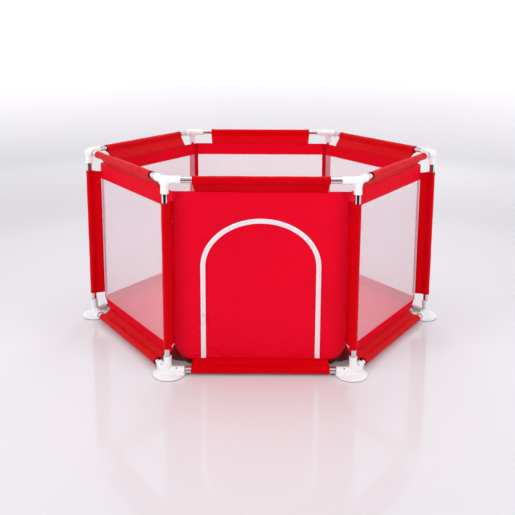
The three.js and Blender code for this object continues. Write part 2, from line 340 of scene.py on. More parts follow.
def bar(p, direction, radius, start, end, rounding=0.0):
    """Distance to a cylinder that lies from `start` to `end` along `direction`."""
    direction = np.asarray(direction, float)
    along = p @ direction
    beside = np.linalg.norm(p - along[..., None] * direction, axis=-1)
    out = beside - radius + rounding
    past = np.abs(along - (start + end) / 2) - (end - start) / 2 + rounding
    outside = np.hypot(np.maximum(out, 0), np.maximum(past, 0))
    return np.minimum(np.maximum(out, past), 0) + outside - rounding


def block(p, centre, size, rounding=0.0):
    """Distance to a box."""
    reach = np.abs(p - np.asarray(centre)) - np.asarray(size) / 2 + rounding
    return np.linalg.norm(np.maximum(reach, 0), axis=-1) + np.minimum(reach.max(-1), 0) - rounding


def join(a, b, fillet):
    """Distance to two shapes as one, with a fillet between them."""
    share = np.clip(0.5 + 0.5 * (b - a) / fillet, 0, 1)
    return b + (a - b) * share - fillet * share * (1 - share)


def cut(a, b, fillet=0.2 * MM):
    """Distance to shape a without shape b."""
    return -join(-a, b, fillet)


# ---- materials ----


class Nodes:
    """A material with a Principled shader, and short ways to add the nodes that feed it."""

    def __init__(self, name, colour, roughness, **values):
        self.material = bpy.data.materials.new(name)
        self.material.use_nodes = True
        self.tree = self.material.node_tree
        self.shader = self.tree.nodes["Principled BSDF"]
        self.shader.inputs["Base Color"].default_value = (*colour, 1)
        self.shader.inputs["Roughness"].default_value = roughness
        for key, value in values.items():
            self.shader.inputs[key.replace("_", " ")].default_value = value

    def add(self, kind, **values):
        node = self.tree.nodes.new(kind)
        for key, value in values.items():
            setattr(node, key, value)
        return node

    def link(self, source, target):
        self.tree.links.new(source, target)

    def fill(self, socket, value):
        if isinstance(value, bpy.types.NodeSocket):
            self.link(value, socket)
        else:
            socket.default_value = value

    def math(self, operation, a, b=0.0):
        node = self.add("ShaderNodeMath", operation=operation)
        self.fill(node.inputs[0], a)
        self.fill(node.inputs[1], b)
        return node.outputs[0]

    def parts(self, vector):
        node = self.add("ShaderNodeSeparateXYZ")
        self.link(vector, node.inputs[0])
        return node.outputs

    def uv(self):
        """The place on the flat cloth, and its two parts."""
        place = self.add("ShaderNodeUVMap", uv_map="cloth").outputs[0]
        u, v, _ = self.parts(place)
        return place, u, v

    def place(self):
        return self.add("ShaderNodeTexCoord").outputs["Object"]

    def length(self, vector):
        node = self.add("ShaderNodeVectorMath", operation="LENGTH")
        self.link(vector, node.inputs[0])
        return node.outputs["Value"]

    def stretch(self, vector, scale):
        node = self.add("ShaderNodeMapping")
        node.inputs["Scale"].default_value = scale
        self.link(vector, node.inputs["Vector"])
        return node.outputs[0]

    def noise(self, scale, detail=3.0, rough=0.5, vector=None):
        """Noise at each place on the object, or on another vector."""
        vector = vector or self.place()
        node = self.add("ShaderNodeTexNoise")
        self.link(vector, node.inputs["Vector"])
        node.inputs["Scale"].default_value = scale
        node.inputs["Detail"].default_value = detail
        node.inputs["Roughness"].default_value = rough
        return node.outputs[0]

    def ramp(self, value, low, high, to_low, to_high):
        node = self.add("ShaderNodeMapRange")
        self.link(value, node.inputs[0])
        for socket, number in zip(list(node.inputs)[1:5], (low, high, to_low, to_high)):
            socket.default_value = number
        return node.outputs[0]

    def mix_colour(self, factor, *colours):
        node = self.add("ShaderNodeMix", data_type="RGBA")
        self.fill(node.inputs[0], factor)
        for socket, colour in zip((node.inputs[6], node.inputs[7]), colours):
            self.fill(socket, colour if isinstance(colour, bpy.types.NodeSocket) else (*colour, 1))
        return node.outputs[2]

    def colour(self, factor, a, b):
        """The surface's colour, from a to b as the factor goes from 0 to 1."""
        self.link(self.mix_colour(factor, a, b), self.shader.inputs["Base Color"])

    def roughness(self, value):
        self.link(value, self.shader.inputs["Roughness"])

    def bump(self, height, distance, strength=1.0, below=None):
        node = self.add("ShaderNodeBump")
        node.inputs["Strength"].default_value = strength
        node.inputs["Distance"].default_value = distance
        self.link(height, node.inputs["Height"])
        if below is not None:
            self.link(below, node.inputs["Normal"])
        self.link(node.outputs[0], self.shader.inputs["Normal"])
        return node.outputs[0]

    def weave(self, pitch):
        """The height of a plain weave with `pitch` metres between threads."""
        _, u, v = self.uv()
        wave = math.pi / pitch
        warp = self.math("SINE", self.math("MULTIPLY", u, wave))
        weft = self.math("SINE", self.math("MULTIPLY", v, wave))
        return self.math("MULTIPLY", warp, weft)


def shaded(colour, factor):
    """A colour made darker or brighter."""
    return tuple(c * factor for c in colour)


def polyester(name, colour, gloss):
    """A fine plain weave with a soft sheen: the shader, its slubs and how it has faded."""
    sheen = dict(Sheen_Weight=0.04, Sheen_Roughness=0.35, Sheen_Tint=(1.0, 0.06, 0.10, 1))
    m = Nodes(name, colour, 0.5, Specular_IOR_Level=gloss, Specular_Tint=(1.0, 0.06, 0.11, 1), **sheen)
    slubs = m.noise(1.0, 2, vector=m.stretch(m.uv()[0], (30, 900, 1)))
    fading = m.noise(5.0, 3)
    m.roughness(m.ramp(fading, 0.3, 0.7, 0.42, 0.54))
    crumple = m.bump(m.noise(60.0, 4, 0.6), 0.0012, 0.35)
    m.bump(m.weave(0.55 * MM), 0.00008, 0.6, crumple)
    return m, slubs, fading


def red_cloth(name, colour, gloss=0.5):
    """Red polyester with uneven threads both ways, faded in patches."""
    m, slubs, fading = polyester(name, colour, gloss)
    cross = m.noise(1.0, 2, vector=m.stretch(m.uv()[0], (900, 30, 1)))
    threads = m.ramp(m.math("ADD", slubs, cross), 0.7, 1.3, -0.16, 0.16)
    tone = m.math("ADD", threads, m.ramp(fading, 0.3, 0.7, 0.38, 0.62))
    m.colour(tone, shaded(colour, 0.80), shaded(colour, 1.12))
    return m.material


def floor_cloth_painted_dark_below():
    """The floor's red cloth, painted dark red wherever it faces down: painted shade on its underside, where
    the raised corners show it.
    """
    colour = (0.92, 0.002, 0.026)
    m, slubs, _ = polyester("red_floor", colour, 0.4)
    tone = m.ramp(slubs, 0.3, 0.7, 0.2, 0.8)
    top = m.mix_colour(tone, shaded(colour, 0.85), shaded(colour, 1.1))
    # painted shade: the dark red given to every face that points down
    under = m.mix_colour(tone, (0.14, 0.0, 0.003), (0.20, 0.0, 0.005))
    facing_up = m.parts(m.add("ShaderNodeNewGeometry").outputs["True Normal"])[2]
    m.colour(m.ramp(facing_up, -0.1, 0.05, 0, 1), under, top)
    return m.material


def net_cloth():
    """White net of fine knitted holes, that can be seen through."""
    m = Nodes("net", (0.86, 0.80, 0.86), 0.75)
    _, u, v = m.uv()
    wave = math.pi / (1.9 * MM)
    slant = m.math("ADD", u, m.math("MULTIPLY", v, 0.5))
    other = m.math("SUBTRACT", u, m.math("MULTIPLY", v, 0.5))
    waves = [m.math("SINE", m.math("MULTIPLY", way, wave)) for way in (slant, other)]
    cover = m.ramp(m.math("ABSOLUTE", m.math("MULTIPLY", *waves)), 0.0, 1.0, 0.60, 0.13)
    m.link(cover, m.shader.inputs["Alpha"])
    tone = m.noise(3.0, 2)
    m.colour(tone, (0.78, 0.68, 0.76), (0.86, 0.78, 0.84))
    return m.material


def white_plastic():
    """Smooth moulded plastic, with the faint flow and fine scuffs of real mouldings."""
    m = Nodes("white_plastic", (0.92, 0.92, 0.925), 0.3, Coat_Weight=0.12, Coat_Roughness=0.12)
    flow = m.noise(14.0, 2)
    m.colour(flow, (0.90, 0.90, 0.91), (0.94, 0.94, 0.94))
    scuffs = m.noise(260.0, 4, 0.7)
    m.roughness(m.ramp(scuffs, 0.35, 0.7, 0.26, 0.36))
    m.bump(m.noise(1100.0, 2), 0.00003, 0.25)
    return m.material


def chrome():
    """Bright plated tube, with fine drawing lines along it."""
    m = Nodes("chrome", (0.72, 0.72, 0.73), 0.06, Metallic=1.0)
    lines = m.noise(1.0, 3, 0.7, vector=m.stretch(m.uv()[0], (8, 2500, 1)))
    m.roughness(m.ramp(lines, 0.3, 0.7, 0.04, 0.10))
    m.colour(m.noise(25.0, 3), (0.68, 0.68, 0.70), (0.78, 0.78, 0.79))
    m.bump(lines, 0.00002, 0.2)
    return m.material


def zip_tape():
    """White zip tape: a close twill, greyer on the raised lips that hide the teeth."""
    m = Nodes("zip_tape", (0.95, 0.88, 0.91), 0.65, Sheen_Weight=0.1)
    _, u, v = m.uv()
    twill = m.math("SINE", m.math("MULTIPLY", m.math("ADD", u, v), math.pi / (0.6 * MM)))
    tone = m.ramp(twill, -1, 1, 0.2, 0.8)
    tape = m.mix_colour(tone, (0.92, 0.83, 0.87), (0.99, 0.95, 0.97))
    lips = m.mix_colour(tone, (0.86, 0.76, 0.81), (0.97, 0.88, 0.92))
    m.colour(m.ramp(m.math("ABSOLUTE", v), 3.2 * MM, 3.9 * MM, 0, 1), lips, tape)
    m.bump(twill, 0.0001, 0.5)
    return m.material


def dark_steel():
    """The dark metal of the snap buttons, and of the small dark knobs that are painted shade on the zip."""
    m = Nodes("dark_steel", (0.05, 0.05, 0.055), 0.35, Metallic=0.6)
    grain = m.noise(900.0, 3)
    m.colour(grain, (0.03, 0.03, 0.035), (0.09, 0.09, 0.10))
    m.roughness(m.ramp(grain, 0.3, 0.7, 0.3, 0.45))
    return m.material


def white_enamel():
    """White enamel, worn through in specks to the metal."""
    m = Nodes("white_enamel", (0.86, 0.85, 0.86), 0.28, Coat_Weight=0.4, Coat_Roughness=0.08)
    wear = m.noise(700.0, 4, 0.7)
    m.colour(m.ramp(wear, 0.62, 0.72, 0, 1), (0.86, 0.85, 0.86), (0.55, 0.55, 0.57))
    m.roughness(m.ramp(wear, 0.3, 0.7, 0.2, 0.4))
    return m.material


def grey_rubber():
    """The matt rubber under the feet."""
    m = Nodes("grey_rubber", (0.16, 0.16, 0.17), 0.8)
    grain = m.noise(1200.0, 3)
    m.colour(grain, (0.12, 0.12, 0.13), (0.20, 0.20, 0.21))
    m.bump(grain, 0.0001, 0.5)
    return m.material


def thread(name, roughness, dark, bright):
    """Twisted sewing thread."""
    m = Nodes(name, bright, roughness)
    twist = m.noise(2500.0, 1)
    m.colour(twist, dark, bright)
    m.bump(twist, 0.0001, 0.5)
    return m.material


WHITE_THREAD = thread("white_thread", 0.5, (0.74, 0.70, 0.73), (0.92, 0.90, 0.92))
# The sleeves' red is darker than the panel's: painted shade for their recessed webs.
RED_SLEEVE_PAINTED_SHADE = red_cloth("red_sleeve_painted_shade", (0.675, 0.0002, 0.005), 0.18)
RED_PANEL = red_cloth("red_panel", (0.84, 0.002, 0.020))
RED_BORDER = red_cloth("red_border", (0.81, 0.003, 0.020), 0.03)
RED_BINDING = red_cloth("red_binding", (0.55, 0.001, 0.012))
RED_FLOOR = floor_cloth_painted_dark_below()
THREAD = thread("red_thread", 0.45, (0.52, 0.002, 0.010), (0.85, 0.006, 0.025))
NET = net_cloth()
PLASTIC = white_plastic()
CHROME = chrome()
TAPE = zip_tape()
ENAMEL = white_enamel()
RUBBER = grey_rubber()
STEEL = dark_steel()


# ---- frame ----


def tube_mesh(place, low, high):
    """A tube of thin metal from `low` to `high`; place(along, across, over) gives its points."""
    wall, chamfer, inside = 0.8 * MM, 0.3 * MM, 12 * MM
    # The close rings near each end keep the shading of the long part level.
    steps = np.array([inside, 0, 0, chamfer, 3 * chamfer, 8 * chamfer])
    depth = np.array([wall, wall, chamfer, 0, 0, 0])
    along = np.concatenate([low + steps, high - steps[::-1]])
    radius = TUBE_RADIUS - np.concatenate([depth, depth[::-1]])
    c, s = ring(40)
    points = place(along[:, None] + 0 * c, radius[:, None] * c, radius[:, None] * s)
    around = np.arange(40) / 40 * 2 * math.pi * TUBE_RADIUS
    uv = together(along[:, None], around)
    return grid_mesh(points, uv, wrap=True, caps=True)


def tube(node, place, low, high):
    """The tube that stands for a node of the frame."""
    piece(f"tube_{node}", tube_mesh(place, low, high), CHROME, nodes=[node])


def add_tubes():
    for corner in corner_list:
        low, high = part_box(f"post_{corner.name}")
        tube(f"post_{corner.name}", lambda z, x, y: corner.place(x, y, z), low.z, high.z)
    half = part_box("top_rail_front")[1].x
    for side in side_list:
        for level, z in (("top", TOP_Z), ("bottom", BOTTOM_Z)):
            tube(f"{level}_rail_{side.name}", lambda x, y, up: side.place(x, -y, z + up), -half, half)


def level_arms(half_angle):
    """The directions of a corner's two level sockets, in the corner's own axes."""
    return [np.array([sign * math.sin(half_angle), math.cos(half_angle), 0.0]) for sign in (1, -1)]


def three_way(p, half_angle, level, upright, up, fillet):
    """Distance to the three sockets before their bores are cut."""
    core = SOCKET_RADIUS - 0.6 * MM
    arms = [bar(p, way, SOCKET_RADIUS, 0, level, 0.9 * MM) for way in level_arms(half_angle)]
    body = join(join(*arms, 6 * MM), np.linalg.norm(p, axis=-1) - core, 1 * MM)
    lip, depth, soft = SOCKET_RADIUS + 0.5 * MM, 5 * MM, 1 * MM
    for way in level_arms(half_angle):
        body = join(body, bar(p, way, lip, level - depth, level, soft), soft)
    leg = bar(p, (0, 0, up), SOCKET_RADIUS, 0, upright, 0.9 * MM)
    leg_lip = bar(p, (0, 0, up), lip, upright - depth, upright, soft)
    return join(body, join(leg, leg_lip, soft), fillet)


def bored(p, body, half_angle, level, upright, up):
    """Distance to `body` with its three sockets bored out to take the tubes."""
    seat, bore = 15 * MM, TUBE_RADIUS + 0.15 * MM
    for direction in level_arms(half_angle):
        body = cut(body, bar(p, direction, bore, seat, level + 0.01))
    return cut(body, bar(p, (0, 0, up), bore, seat, upright + 0.01))


PIN_AT = 28 * MM  # from the post's axis to the snap button of each level tube


def pin_axis(way):
    """The direction in which a snap button points, out and up from its level socket."""
    sign = math.copysign(1, way[0])
    return np.array([way[1] * sign, -way[0] * sign, 1.4]) / math.hypot(1, 1.4)


def pin_holes(p, body, half_angle):
    """A small hole high on the outer face of each level socket."""
    for way in level_arms(half_angle):
        hole = bar(p - way * PIN_AT, pin_axis(way), 2.6 * MM, 8 * MM, 20 * MM)
        body = cut(body, hole, 0.4 * MM)
    return body


def top_connector_mesh(corner, level, upright):
    def distance(p):
        body = three_way(p, corner.half_angle, level, upright, -1, 12 * MM)
        return bored(p, body, corner.half_angle, level, upright, -1)

    reach = level + SOCKET_RADIUS
    low = (-reach, -SOCKET_RADIUS, -upright)
    return surface_of(distance, low, (reach, reach, SOCKET_RADIUS), 1.2 * MM)


def foot_mesh(corner, level, upright, disc_radius):
    """A foot: a domed disc with a rounded rim, and three sockets that grow out of it."""
    rim_height, rise = 6.5 * MM, 8.5 * MM

    def distance(p):
        body = three_way(p, corner.half_angle, level, upright, 1, 5 * MM)
        q = p - np.array([0, FOOT_INWARD, -BOTTOM_Z])
        r = np.hypot(q[..., 0], q[..., 1])
        dome = (q[..., 2] - rim_height - rise * (1 - (r / disc_radius) ** 2)) * 0.95
        disc = -join(-dome, disc_radius - r, 7 * MM)
        body = join(body, disc, 7 * MM)
        body = -join(-body, p[..., 2] + BOTTOM_Z - FOOT_SOLE, 0.8 * MM)
        return pin_holes(p, bored(p, body, corner.half_angle, level, upright, 1), corner.half_angle)

    reach = max(level + 4 * MM, disc_radius + FOOT_INWARD)
    return surface_of(distance, (-reach, -disc_radius, -BOTTOM_Z), (reach, reach, upright), 1.3 * MM)


def disc_mesh(radius, high, bevel):
    """A flat round pad with bevelled edges, on the ground at the origin."""
    profile = [(0.001 * MM, 0.0), (radius - bevel, 0.0), (radius, bevel)]
    profile += [(radius, high - bevel), (radius - bevel, high), (0.001 * MM, high)]
    r, z = np.array(profile).T
    c, s = ring(64)
    points = together(r[:, None] * c, r[:, None] * s, z[:, None])
    return grid_mesh(points, wrap=True, caps=True)


def add_corner_pieces():
    """The connector, the foot with its pad, and the snap buttons at each corner. Corners with the
    same angle share a mould."""
    top_leg = TOP_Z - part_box("top_connector_left")[0].z
    low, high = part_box("foot_left")
    disc_radius = (high.y - low.y) / 2
    moulds = {}
    for corner in corner_list:
        key = round(corner.half_angle, 3)
        if key not in moulds:
            top = top_connector_mesh(corner, TOP_ARM, top_leg)
            moulds[key] = (top, foot_mesh(corner, FOOT_ARM, high.z - BOTTOM_Z, disc_radius))
        for mould, kind, z in zip(moulds[key], ("top_connector", "foot"), (TOP_Z, BOTTOM_Z)):
            node = f"{kind}_{corner.name}"
            mesh = mould.copy()
            mesh.transform(corner.matrix(z))
            piece(f"moulded_{node}", mesh, PLASTIC, nodes=[node], sharp=60)
        for hand, way in zip(("right", "left"), level_arms(corner.half_angle)):
            spots = [pin_axis(way) * r * MM + way * PIN_AT for r in (8.0, 10.4, 10.7)]
            button = swept_tube(spots, np.array([2.2, 2.2, 1.6]) * MM, 20)
            button.transform(corner.matrix(BOTTOM_Z))
            piece(f"snap_button_{corner.name}_{hand}", button, STEEL)
        pad = disc_mesh(disc_radius - 1.5 * MM, FOOT_SOLE + 0.4 * MM, 0.5 * MM)
        pad.transform(corner.matrix(0.0) @ Matrix.Translation((0, FOOT_INWARD, 0)))
        piece(f"foot_pad_{corner.name}", pad, RUBBER)


add_tubes()
add_corner_pieces()


# ---- sleeves ----

LOOP = 11.0 * MM  # radius of the cloth round a tube
SEAM_AT = 17.0 * MM  # from the tube's axis to the seam that closes the loop
HEM = 11 * MM


WEB_POINTS = 9  # on each layer of the web, in the sleeve's section


def sleeve_path(reach):
    """The folded strip in the sleeve's section: down the web, round the tube and back."""
    layer = 0.62 * MM
    meet = math.acos(LOOP / SEAM_AT)
    web = np.linspace(reach, SEAM_AT, WEB_POINTS)
    angle = np.linspace(meet, 2 * math.pi - meet, 29)
    first = np.stack([web, np.full(WEB_POINTS, layer)], 1)
    loop = np.stack([LOOP * np.cos(angle), LOOP * np.sin(angle)], 1)
    last = first[::-1] * [1, -1]
    return np.concatenate([first, loop, last])


def sleeve(name, node, place, start, end, reach, seed, slant=5 * MM):
    """A cloth sleeve on a tube; place(along, web, over) gives its points, and slant is how far
    each end draws in towards the bag's edge."""
    path = sleeve_path(reach)
    run = run_along(path)
    tangent = np.gradient(path, axis=0)
    normal = unit(np.stack([tangent[:, 1], -tangent[:, 0]], 1))
    outward = np.sign(path[:, 1])[:, None] * np.abs(normal[:, 1:2])
    is_loop = np.arange(len(path)) >= WEB_POINTS
    is_loop &= is_loop[::-1]
    normal = np.where(is_loop[:, None], unit(path), [0, 1] * outward)

    length = end - start
    inner = np.linspace(HEM, length - HEM, int((length - 2 * HEM) / (4 * MM)))
    ends = np.array([0, 0.4, 1.2]) * MM
    hem = np.array([-1.2, -0.4, 0.4, 1.2]) * MM
    x = np.concatenate([ends, HEM + hem, inner[1:-1], length - HEM + hem, length - ends[::-1]])
    share = np.clip((path[:, 0] - SEAM_AT) / max(reach - SEAM_AT, 1e-6), 0, 1)
    squeeze = 1 - 2 * slant * share[None] / length
    along = start + length / 2 + (x[:, None] - length / 2) * squeeze

    at, web = x[:, None], share[None]
    hem_fold = 0.45 * MM * (np.minimum(at, length - at) < HEM)
    wide = lattice_noise(at / 0.07, run[None] / 0.03 + 7, seed) * 0.8 * MM
    fine = lattice_noise(at / 0.016, run[None] / 0.022, seed + 1) * 0.4 * MM
    # Both layers of the web move together, and the loop only swells.
    web_move = share * (
        1.6 * MM * lattice_noise(at / 0.09, 0.0, seed + 3)
        + 0.7 * MM * lattice_noise(at / 0.012, web * 1.5, seed + 4)
    )
    web_move = web_move + 0.35 * MM * lattice_noise(at / 0.009, web * 2, seed + 5) * ~is_loop
    swell = hem_fold + np.where(is_loop, np.abs(wide) + np.abs(fine), 0)
    a = path[None, :, 0] + swell * normal[None, :, 0]
    b = path[None, :, 1] + swell * normal[None, :, 1] + web_move
    points = place(along, a, b)
    uv = together(x[:, None], run[None])
    obj = piece(name, grid_mesh(points, uv), RED_SLEEVE_PAINTED_SHADE, nodes=[node])
    thicken(obj, CLOTH)
    column = WEB_POINTS - 2  # the point of the web beside the seam
    proud = (CLOTH / 2 + 0.15 * MM) * np.sign(path[column, 1])
    layers = (column, 1), (-1 - column, -1)
    rows = [place(along[:, k], a[:, k], b[:, k] + way * proud) for k, way in layers]
    stitches(f"{name}_seam", rows, THREAD)


def add_sleeves():
    for seed, corner in enumerate(corner_list):
        node = f"post_sleeve_{corner.name}"
        low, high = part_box(node)
        sleeve(
            f"cloth_{node}", node,
            lambda z, y, x: corner.place(x, y, z),
            low.z, high.z, corner.bag - 0.6 * MM, 10 * seed, slant=2 * MM,
        )
    for seed, side in enumerate(side_list):
        for level, z, edge in (("top", TOP_Z, BAG_TOP), ("bottom", BOTTOM_Z, BAG_BOTTOM)):
            node = f"{level}_sleeve_{side.name}"
            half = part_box(f"{level}_sleeve_front")[1].x
            web = np.array([BAG_INSET - 0.6 * MM, edge - z])
            reach = float(np.linalg.norm(web))
            down = web / reach

            def place(x, out, over, side=side, z=z, down=down):
                return side.place(x, out * down[0] - over * down[1], z + out * down[1] + over * down[0])

            sleeve(
                f"cloth_{node}", node,
                place, -half, half, reach, 100 + 10 * seed + (level == "top"),
            )


add_sleeves()


# ---- the bag: net walls and their red borders ----


def bottom_edge(x, side):
    """The bag's lower edge, which rises in a slight curve where each corner is cut off."""
    depth = np.clip(1 - np.minimum(x - side.left, side.right - x) / CORNER_CUT, 0, 1)
    return BAG_BOTTOM + (CORNER_CUT_Z - BAG_BOTTOM) * depth ** 2.3


def wall_columns(side, count):
    """Places along a wall, closer together at its cut corners."""
    t = np.linspace(0, 1, count)
    return side.left + (side.right - side.left) * (t - 0.06 * np.sin(2 * math.pi * t))


def round_the_bag(count, height):
    """A closed line round the bag; height(x, side) gives its height along each wall."""
    walls = []
    for side in side_list:
        x = wall_columns(side, count)[:-1]
        walls.append(side.place(x, BAG_INSET, height(x, side)))
    return np.concatenate(walls)


def border(name, side, low, high, seed, seam):
    """A strip of doubled red cloth on a wall between two heights, puckered along its seams."""
    rows, width = 12, side.right - side.left
    x = wall_columns(side, 150)
    bottom = np.minimum(np.maximum(low, bottom_edge(x, side)), high - 0.3 * MM)
    v = np.linspace(0, 1, rows)
    z = bottom + (high - bottom) * v[:, None]
    pucker = lattice_noise(x[None] / 0.0085, v[:, None] * 1.4, seed) * 0.8 * MM
    swell = lattice_noise(x[None] / 0.06, v[:, None] * 1.2, seed + 1) * 1.2 * MM
    hold = np.sin(math.pi * np.clip(v, 0.02, 0.98))[:, None] ** 0.6
    move = (pucker + swell) * hold
    points = side.place(x[None], BAG_INSET + move, z)
    uv = together(x[None], z)
    obj = piece(name, grid_mesh(points, uv), RED_BORDER)
    thicken(obj, 2.0 * MM)
    row = 1 if seam == "low" else rows - 2
    faces = [side.place(x, BAG_INSET + move[row] + way * 1.15 * MM, z[row]) for way in (-1, 1)]
    stitches(f"{name}_seam", [line[14:-14] for line in faces], THREAD)


def border_heights(side):
    """The heights of a wall's upper and lower borders."""
    beside = side.name in ("front_left", "front_right")
    return BORDER_BESIDE_DOOR if beside else (BORDER_TOP, BORDER_BOTTOM)


def net_strip(side, x, low, high, seed, sag=1.5 * MM, out=0.0):
    """Net on a wall between two heights, given at each of the places x along it."""
    v = np.linspace(0, 1, 60)[:, None]
    z = low + (high - low) * v
    share = (x - x[0]) / (x[-1] - x[0])
    hold = np.sin(math.pi * v) ** 0.5 * np.sin(math.pi * share)[None] ** 0.5
    waves = lattice_noise(x[None] / 0.14, z / 0.16, seed) * sag * hold
    points = side.place(x[None], BAG_INSET + out + waves, z)
    return grid_mesh(points, together(x[None], z))


def net_wall(side, seed):
    """The net of a wall, and the turned edge that doubles it beside each upright seam."""
    overlap, inset, width = 5 * MM, 0.5 * MM, side.right - side.left
    x = wall_columns(side, 80)
    above, below = border_heights(side)
    low = np.maximum(BAG_BOTTOM + below - overlap, bottom_edge(x, side) + inset)
    high = BAG_TOP - above + overlap
    mesh = net_strip(side, x, low, high, seed)
    obj = piece(f"net_{side.name}", mesh, NET, nodes=[f"net_wall_{side.name}"])
    for end, start in (("start", side.left + inset), ("end", side.right - inset - TURNED_EDGE)):
        x = np.linspace(start, start + TURNED_EDGE, 4)
        low = np.maximum(BAG_BOTTOM + below, bottom_edge(x, side) + inset)
        mesh = net_strip(side, x, low, high, seed, sag=0.0, out=0.7 * MM)
        turned = piece(f"net_{side.name}_turned_{end}", mesh, NET)


def edge_bindings():
    """The bound edges that run round the bag: one along its top, one along its cut bottom."""
    edges = {"top_binding": lambda x, side: np.full(len(x), BAG_TOP), "bottom_binding": bottom_edge}
    for name, edge in edges.items():
        path = round_the_bag(91, lambda x, side: edge(x, side) + lattice_noise(x / 0.05, 0.5, 5) * 0.3 * MM)
        path = np.roll(path, 45, axis=0)  # so that the line closes in the middle of a wall
        smooth = sum(np.roll(path, k, axis=0) for k in (-1, 0, 1)) / 3
        piece(name, swept_tube(np.concatenate([smooth, smooth[:1]]), 1.7 * MM), RED_BINDING)


def corner_binding(corner):
    """The strip that is sewn over each upright seam, inside the bag."""
    width, count = 9 * MM, 60
    z = np.linspace(CORNER_CUT_Z, BAG_TOP, count)
    wobble = lattice_noise(z / 0.03, 0.5, 9) * 0.4 * MM
    x_step, y_step = width * math.sin(corner.half_angle), width * math.cos(corner.half_angle)
    inner = corner.bag + 1.6 * MM
    spots = [(-1, 1), (-0.5, 0.5), (-0.1, 0.15), (0.1, 0.15), (0.5, 0.5), (1, 1)]
    across = np.array([x_step * a for a, _ in spots])
    deep = np.array([inner + y_step * b for _, b in spots])
    points = corner.place(across[None], deep[None] + wobble[:, None], z[:, None])
    uv = together(across[None], z[:, None])
    obj = piece(f"corner_binding_{corner.name}", grid_mesh(points, uv), RED_BINDING)
    thicken(obj, 1.2 * MM)


for number, side in enumerate(side_list):
    if side.name != "front":
        above, below = border_heights(side)
        net_wall(side, 300 + number)
        border(f"top_border_{side.name}", side, BAG_TOP - above, BAG_TOP, 320 + number, "low")
        border(f"bottom_border_{side.name}", side, 0.0, BAG_BOTTOM + below, 340 + number, "high")
edge_bindings()
for corner in corner_list:
    corner_binding(corner)


# ---- the front: panel, door and zip ----

SPRING = ZIP_TOP - DOOR_ARCH  # where the arch leaves the straight legs of the zip


def arch(offset, bottom, legs, bow):
    """The zip's line moved outward by `offset`: its x and z, and the run along it."""
    z = np.linspace(bottom, SPRING, legs, endpoint=False)
    angle = np.linspace(math.pi, 0, bow)
    x = np.concatenate([np.full(legs, -ZIP_HALF_WIDTH), ZIP_HALF_WIDTH * np.cos(angle)])
    x = np.concatenate([x, np.full(legs, ZIP_HALF_WIDTH)])
    up = np.concatenate([z, SPRING + DOOR_ARCH * np.sin(angle), z[::-1]])
    nx = np.concatenate([np.full(legs, -1.0), np.cos(angle) / ZIP_HALF_WIDTH, np.full(legs, 1.0)])
    nz = np.concatenate([np.zeros(legs), np.sin(angle) / DOOR_ARCH, np.zeros(legs)])
    size = np.hypot(nx, nz)
    nx, nz = nx / size, nz / size
    run = np.concatenate([[0], np.cumsum(np.hypot(np.diff(x), np.diff(up)))])
    return x + offset * nx, up + offset * nz, run


def panel_rim(count, bow):
    """The panel's outer edge opposite each point of the arch: up the left, over the top, down."""
    z = np.linspace(BAG_BOTTOM, SPRING, count, endpoint=False)
    half, tall = front.right, BAG_TOP - SPRING
    angle = np.linspace(math.pi, 0, bow)
    corner = math.atan2(tall, half)
    for exact in (math.pi - corner, corner):  # a point falls on each upper corner
        angle[int(np.argmin(abs(angle - exact)))] = exact
    c, s = np.cos(angle), np.sin(angle)
    size = np.minimum(half / np.maximum(abs(c), 1e-9), tall / np.maximum(s, 1e-9))
    x = np.concatenate([np.full(count, front.left), size * c, np.full(count, front.right)])
    up = np.concatenate([z, SPRING + size * s, z[::-1]])
    return x, up


def puckers(run, depth, seed, pitch, reach, height):
    """Ridges that leave a seam and slant down, in clusters, and fade with depth."""
    lean = 0.045 * depth / MM + 0.5 * lattice_noise(depth / 0.04, run / 0.06, seed)
    ridges = lattice_noise(run / pitch + lean, depth / 0.08, seed + 1)
    fine = lattice_noise(run / (0.5 * pitch) + 2 * lean, depth / 0.04, seed + 2)
    cluster = np.clip(0.6 + 0.6 * lattice_noise(run / 0.05, 0.5, seed + 3), 0.1, 1.2)
    length = reach * (1 + 0.6 * lattice_noise(run / (1.5 * pitch), 0.5, seed + 4))
    fade, fine_fade = np.exp(-depth / length), np.exp(-2.5 * depth / length)
    return height * cluster * (ridges * fade + 0.3 * fine * fine_fade)


def along_zip(x, z):
    """Where a point lies along the zip: its height beside a leg, and the turn beyond it."""
    turn = np.arctan2(np.maximum(z - SPRING, 0), abs(x)) * ZIP_HALF_WIDTH
    return np.where(z > SPRING, SPRING + turn, z) + 3 * (x > 0)


def slit_gap(z):
    """How far each cloth reaches under the zip: to the slit's middle where the zip has ended."""
    return 3.9 * MM * np.clip((ZIP_END + 4 * MM - z) / (3 * MM), 0, 1)


def rise(depth, width):
    """From 0 at a seam to 1 beyond `width`, steep at first, as stuffed cloth leaves its seam."""
    t = np.clip(depth / width, 0, 1)
    return np.sqrt(t * (2 - t))


